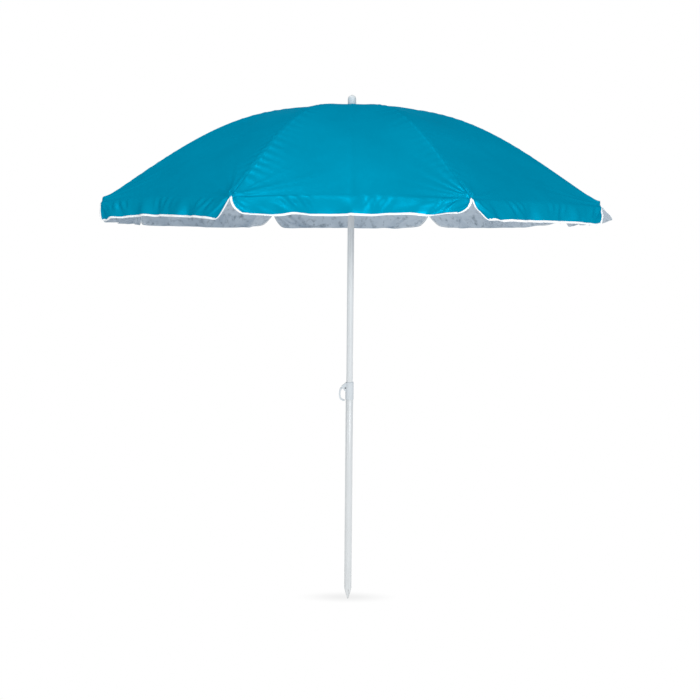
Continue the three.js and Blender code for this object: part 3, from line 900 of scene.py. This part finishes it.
def edge_path(grid, normal):
    """A half's free edge, from the notch's top to the panel's middle.

    Returns its points, and the inward and outward directions at each.
    """
    last_row, last_column = grid.shape[0] - 1, grid.shape[1] - 1
    edge = [(i, 0) for i in range(ROWS, last_row + 1)]
    edge += [(last_row, j) for j in range(1, last_column + 1)]
    inward = []
    for i, j in edge:
        up = unit(grid[i - 1, j] - grid[i, j])
        aside = unit(grid[i, min(j + 1, last_column)] - grid[i, j])
        if j == 0 and i == last_row:
            inward.append(unit(up + aside))
        else:
            inward.append(up if j > 0 else aside)
    rows, columns = zip(*edge)
    return grid[rows, columns], np.array(inward), normal[rows, columns]


def binding_mesh(k, edges, looks):
    """The white tape round the sector's hem and notch."""
    left, right = (edge_path(*edge) for edge in edges)
    points, inward, normal = (np.concatenate([a[::-1], b[1:]]) for a, b in zip(left, right))
    reach = np.append(0, np.cumsum(np.linalg.norm(np.diff(points, axis=0), axis=1)))
    top, whole = reach[len(left[0]) - 1], reach[-1]
    apex = round(top / BIND_STEP)
    rest = round((whole - top) / BIND_STEP)
    even = np.append(np.linspace(0, top, apex + 1), np.linspace(top, whole, rest + 1)[1:])
    points, inward, normal = (
        np.stack([np.interp(even, reach, column) for column in values.T], axis=1)
        for values in (points, inward, normal)
    )
    for side in (points[: apex + 1], points[apex:]):
        eased(side, 2)
    inward[apex] = (0, 0, 1)
    normal[apex] = left[2][0] + right[2][0]
    ends = [0, -1]
    held = inward[ends].copy()
    inward, normal = unit(eased(inward, 6)), unit(eased(normal, 4))
    along = unit(np.gradient(points, axis=0))
    inward = unit(inward - (inward * along).sum(1, keepdims=True) * along)
    inward[ends] = held
    normal = unit(normal - (normal * inward).sum(1, keepdims=True) * inward)
    soft = BIND_THICK * 0.8  # radius of the tape's edges
    section = []
    for x, z, start in (
        (BIND_IN * 0.35, -BIND_THICK, -90), (BIND_IN, BIND_THICK, 0),
        (-BIND_OUT, BIND_THICK, 90), (-BIND_OUT, -BIND_THICK, 180),
    ):
        for a in (10, 45, 80):
            turn = math.radians(start + a)
            corner_x = x - math.copysign(soft, x) + soft * math.cos(turn)
            corner_z = z - math.copysign(soft, z) + soft * math.sin(turn)
            section.append((corner_x, corner_z))
    middle = points - normal * CLOTH / 2
    tape = sweep(f"binding_{k}", middle, section, inward, normal, looks["binding"])
    tape.data.materials.append(looks["binding_inside_painted_shade"])
    sides = len(section)
    # The faces on the lining side take the darker copy of the tape: painted shade.
    under = (sides - 3, sides - 2, sides - 1, 0, 1)
    for face in tape.data.polygons[: sides * (len(points) - 1)]:
        face.material_index = int(face.index % sides in under)
    return tape


def add_canopy(looks):
    """Eight sectors with their tape, each on its rib."""
    for k in range(1, RIBS + 1):
        cloth, edges = sector_mesh(k, looks)
        tape = binding_mesh(k, edges, looks)
        stand_in(cloth, f"arm_{k}", "canopy_fabric", f"canopy_panel_{k}")
        stand_in(tape, f"arm_{k}", "binding")
        for piece in (cloth, tape):
            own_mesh(piece)


# ---- ribs and stretchers ----


def below(s, depth):
    """Points under the seam line by depth, in the XZ plane with +X outwards."""
    radius, height = seam(s)
    dip = seam_dip(s)
    x, z = radius - depth * np.sin(dip), height - depth * np.cos(dip)
    return np.stack([x, 0 * radius, z], axis=-1)


def rib_line():
    """The rib's middle line from its eye at the crown to its tip, as the CAD ribs have it."""
    start = np.array([PIVOT_RADIUS + EYE_RADIUS - 0.0008, 0, CROWN.z])
    shares = 0.1 + (RIB_END - 0.1) * np.linspace(0, 1, 9)
    knots = np.concatenate([[start], below(shares, RIB_DEPTH)])
    padded = np.concatenate([[2 * knots[0] - knots[1]], knots, [2 * knots[-1] - knots[-2]]])
    points = []
    for i in range(1, len(padded) - 2):
        p0, p1, p2, p3 = padded[i - 1 : i + 3]
        for u in np.linspace(0, 1, 12, endpoint=False):
            curve = 2 * p1 + (p2 - p0) * u
            curve = curve + (2 * p0 - 5 * p1 + 4 * p2 - p3) * u**2
            curve = curve + (3 * p1 - p0 - 3 * p2 + p3) * u**3
            points.append(0.5 * curve)
    return np.array([*points, knots[-1]])


def eye_ring(name, centre, look):
    """A flat round eye with a hole, its axis along Y."""
    half = EYE_THICK / 2
    soft = EYE_THICK * 0.2
    profile = [
        (EYE_HOLE, -half), (EYE_RADIUS - soft, -half), (EYE_RADIUS, soft - half),
        (EYE_RADIUS, half - soft), (EYE_RADIUS - soft, half), (EYE_HOLE, half), (EYE_HOLE, -half),
    ]
    ring = lathe(name, profile, look, turns=28)
    ring.data.transform(Matrix.Translation(centre) @ Matrix.Rotation(math.pi / 2, 4, "X"))
    return ring


# A tip cap about the wire's end, which is at height 0.
CAP_PROFILE = [
    (0.0022, -0.009), (0.0029, -0.009), (0.0031, -0.0085), (0.0031, 0.0012), (0.0027, 0.0027),
    (0.0016, 0.0037), (0, 0.004), (0, 0.0003), (0.0022, 0.0003), (0.0022, -0.009),
]


def add_ribs(looks):
    """Each rib's wire, tip cap and saddle, and its stretcher."""
    line = rib_line()
    for k in range(1, RIBS + 1):
        turn = azimuth_turn(rib_azimuth(k)).to_4x4()
        wire = flat_wire(f"rib_bar_{k}", line, RIB_RADIUS, looks["steel_wire"])
        eye = eye_ring(f"rib_eye_{k}", (PIVOT_RADIUS, 0, CROWN.z), looks["steel_wire"])
        rib = join(f"rib_wire_{k}", [wire, eye])
        rib.data.transform(turn)
        stand_in(rib, f"arm_{k}", "steel_wire", f"rib_{k}")
        along = Vector(line[-1] - line[-2]).normalized()
        cap = lathe(f"rib_cap_{k}", CAP_PROFILE, looks["hub_plastic"], turns=24)
        aim = Vector((0, 0, 1)).rotation_difference(along).to_matrix().to_4x4()
        cap.data.transform(turn @ Matrix.Translation(Vector(line[-1])) @ aim)
        stand_in(cap, f"arm_{k}", "hub_plastic", f"rib_tip_{k}")
        clip = refined(f"joint_clip_{k}", f"saddle_{k}", looks["plated_steel"], 0.00025)
        stand_in(clip, f"arm_{k}", "plated_steel", f"joint_clip_{k}")
        strut = refined(f"stretcher_{k}", f"channel_{k}", looks["steel_wire"], 0.0003)
        stand_in(strut, f"strut_{k}", "steel_wire", f"stretcher_{k}")


def pivot_ring(name, height, look):
    """The wire ring that the eyes of the ribs or the stretchers hang on."""
    turn = np.linspace(0, 2 * math.pi, 72, endpoint=False)
    out = np.stack([np.cos(turn), np.sin(turn), 0 * turn], axis=1)
    up = np.tile([0.0, 0.0, 1.0], (len(turn), 1))
    path = out * PIVOT_RADIUS + (0, 0, height)
    return sweep(name, path, round_section(0.001, 10), out, up, look, closed=True)


# ---- pole, clamp, crown and runner ----


def lower_tube(looks):
    """The lower tube, with its foot pressed to a four-lobed point as in the CAD."""
    _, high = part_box("lower_tube")
    radius, top = high.x, high.z
    bore = radius - TUBE_WALL
    tip, point_top = 0.0016, 0.040
    flank = []
    for u in np.linspace(0, 1, 22):
        flank.append((tip + (radius - tip) * math.sin(u * math.pi / 2) ** 1.15, u * point_top))
    profile = [
        (0, 0), *flank, (radius, 0.06), (radius, 0.35), (radius, top - 0.0004),
        (radius - 0.0003, top), (bore, top), (bore, 0.052), (0, 0.046),
    ]
    tube = lathe("lower_pole_tube", profile, looks["pole_paint"], turns=72, degrees=50)
    for vertex in tube.data.vertices:
        x, y, z = vertex.co
        if 0.00001 < z < point_top - 0.00001:
            flattened = 0.22 * math.sin(z / point_top * math.pi)
            lobes = flattened * math.cos(2 * math.atan2(y, x)) ** 2
            vertex.co.x, vertex.co.y = x * (1 - lobes), y * (1 - lobes)
    return stand_in(tube, "lower_pole", "pole_paint", "lower_tube")


def upper_tube(looks):
    """The upper tube, with the slot that the runner's catch comes out of."""
    low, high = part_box("upper_tube")
    radius, bore = high.x, high.x - TUBE_WALL
    slot_low, slot_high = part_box("runner_catch")
    rows = [low.z, low.z + 0.05, 0.75, 1.0, 1.25, slot_low.z - 0.004, slot_high.z + 0.004, 1.6]
    profile = [(radius, z) for z in (*rows, high.z)]
    profile += [(bore, high.z), (bore, low.z), (radius, low.z)]
    tube = lathe("upper_pole_tube", profile, looks["pole_paint"], turns=72, degrees=50)
    gap = 0.0003
    x0, x1 = slot_low.x - gap, slot_high.x + gap
    z0, z1 = slot_low.z - gap, slot_high.z + gap
    corners = [(x, y, z) for z in (z0, z1) for y in (-0.02, 0) for x in (x0, x1)]
    sides = [(0, 2, 3, 1), (4, 5, 7, 6), (0, 1, 5, 4), (2, 6, 7, 3), (0, 4, 6, 2), (1, 3, 7, 5)]
    cutter = new_object("slot_cutter", corners, sides, [looks["pole_paint"]], smooth_faces=False)
    cut = tube.modifiers.new("slot", "BOOLEAN")
    cut.object, cut.operation, cut.solver = cutter, "DIFFERENCE", "EXACT"
    apply_modifiers(tube)
    bpy.data.objects.remove(cutter)
    sharpen(tube, 40)
    return stand_in(tube, "upper_pole", "pole_paint", "upper_tube")


def finial(looks):
    """The domed cap on the crown's post, with a rolled foot and a faint waist line."""
    low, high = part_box("finial_cap")
    foot, radius, base, top = high.x, high.x - 0.0012, low.z, high.z
    bore, ceiling = 0.0083, 1.699
    shoulder = top - radius
    turns = np.linspace(0, math.pi / 2, 18)[:-1]
    dome = [(radius * math.cos(a), shoulder + radius * math.sin(a)) for a in turns]
    profile = [
        (bore, base), (foot - 0.0006, base), (foot, base + 0.0006), (foot, base + 0.0013),
        (foot - 0.0006, base + 0.0020), (radius, base + 0.0030), (radius, base + 0.0075),
        (radius - 0.0003, base + 0.0080), (radius, base + 0.0085), *dome, (0, top),
        (0, ceiling), (bore, ceiling), (bore, base),
    ]
    cap = lathe("finial", profile, looks["finial_plastic"], turns=64, degrees=45)
    return stand_in(cap, "upper_pole", "finial_plastic", "finial_cap")


def add_hardware(looks):
    """The pole, the finial, and the parts that keep their CAD shapes with rounded edges."""
    lower_tube(looks)
    upper_tube(looks)
    finial(looks)
    # CAD node, piece, body, slot, bevel
    for node, name, body, slot, bevel in (
        ("clamp_collar", "collar", "lower_pole", "collar_plastic", 0.0005),
        ("clamp_lever", "lever_loop", "lever", "collar_plastic", 0.0010),
        ("clamp_pin", "lever_pin", "lower_pole", "plated_steel", 0.0003),
        ("collar_rivet", "collar_rivet_head", "lower_pole", "plated_steel", 0.0002),
        ("guide_bush", "pole_bush", "bush", "hub_plastic", 0.0003),
        ("runner_catch", "catch_blade", "catch", "plated_steel", 0.0003),
        ("crown_hub", "crown", "upper_pole", "hub_plastic", 0.0004),
        ("crown_rivet", "crown_rivet_bar", "upper_pole", "plated_steel", 0.0002),
        ("runner", "runner_notch", "slider", "hub_plastic", 0.0004),
    ):
        stand_in(refined(node, name, looks[slot], bevel), body, slot, node)
    steel = looks["plated_steel"]
    for name, height, body, node in (
        ("crown_wire", CROWN.z, "upper_pole", "crown_ring"),
        ("runner_wire", RUNNER_Z, "slider", "runner_ring"),
    ):
        stand_in(pivot_ring(name, height, steel), body, "plated_steel", node)
    spring = frame["nodes"]["catch_spring"].data
    spring.materials.clear()
    spring.materials.append(steel)


add_camera()
add_world()
add_light("key", (1.5, -3.8, 1.9), (0, 0, 1.4), 0.9, 68)
add_light("fill", (-2.9, -2.6, 1.2), (0, 0, 1.4), 1.2, 12)
add_light("top", (-0.9, -1.1, 4.1), (0, -0.2, 1.5), 0.9, 24)
add_floor()
LOOKS = make_materials()
add_hardware(LOOKS)
add_ribs(LOOKS)
add_canopy(LOOKS)
